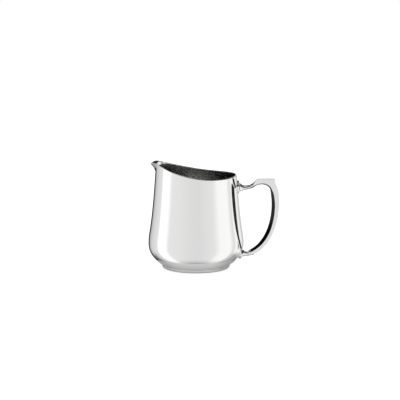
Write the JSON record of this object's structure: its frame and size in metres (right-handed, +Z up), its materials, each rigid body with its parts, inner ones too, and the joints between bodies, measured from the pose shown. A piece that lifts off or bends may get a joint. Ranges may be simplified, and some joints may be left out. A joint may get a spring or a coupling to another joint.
{
  "type": "cream jug",
  "caption": "Small polished pear-bodied pouring jug with a sweeping rim, a pulled lip, a low foot ring and a flat-sided loop handle on pinned pegs.",
  "frame": {"origin": "on the axis of the round body, at the level of the foot ring's standing face", "axes": "+Z up the body's axis, +X towards the handle, -X towards the pouring lip"},
  "size_m": [0.1084, 0.0794, 0.0888],
  "materials": {
    "polished_silver": "mirror-polished silver plate",
    "cast_silver": "polished silver-plated casting",
    "peg_metal": "drawn wire, polished ends"
  },
  "bodies": {
    "root": {"body": "polished_silver", "foot_ring": "polished_silver", "handle": "cast_silver", "upper_collar": "polished_silver", "upper_stud": "peg_metal", "upper_pin": "peg_metal", "lower_collar": "polished_silver", "lower_ferrule": "polished_silver", "lower_stud": "peg_metal", "lower_pin": "peg_metal"}
  },
  "joints": []
}
